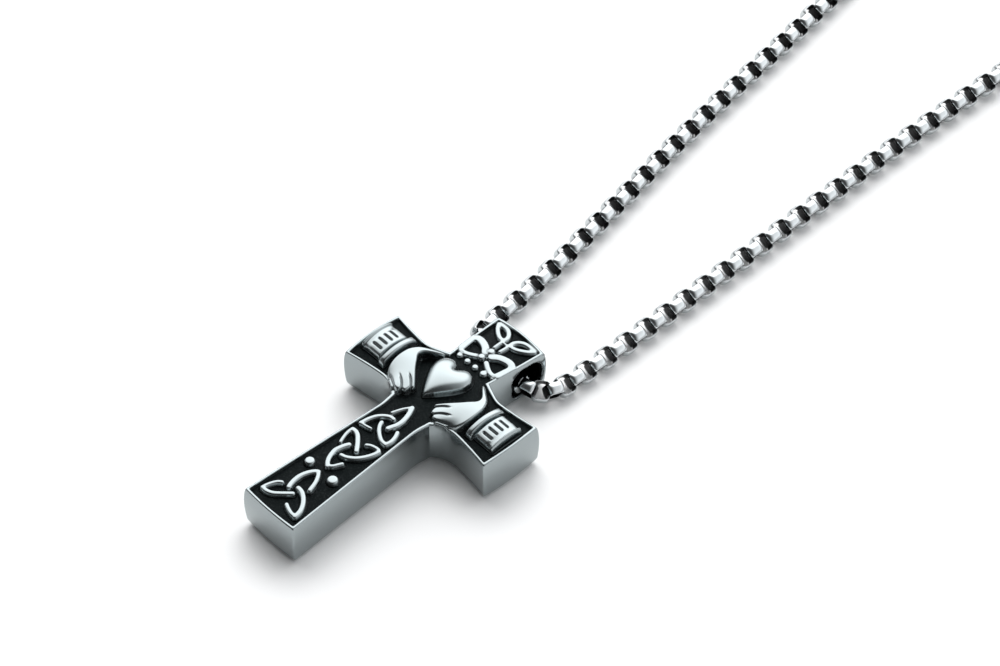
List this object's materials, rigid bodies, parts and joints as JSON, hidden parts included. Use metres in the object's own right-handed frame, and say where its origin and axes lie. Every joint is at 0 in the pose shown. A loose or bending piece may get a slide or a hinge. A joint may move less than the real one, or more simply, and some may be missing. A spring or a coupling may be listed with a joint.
{
  "type": "celtic cross pendant necklace",
  "caption": "Cast steel Celtic cross pendant with raised knots, heart, hands and crown, threaded on a box-link chain with a plain clasp, lying flat.",
  "frame": {"origin": "on the cross's flat back, under the middle of the crossing", "axes": "+X towards the right-hand arm, +Y towards the head and along the chain, +Z out of the ornamented front"},
  "size_m": [0.0878, 0.309, 0.0084],
  "materials": {
    "cast_steel": "polished, with blackened recesses",
    "chain_steel": "polished",
    "clasp_steel": "polished"
  },
  "bodies": {
    "root": {"cross": "cast_steel", "chain": "chain_steel", "clasp": "clasp_steel"}
  },
  "joints": []
}
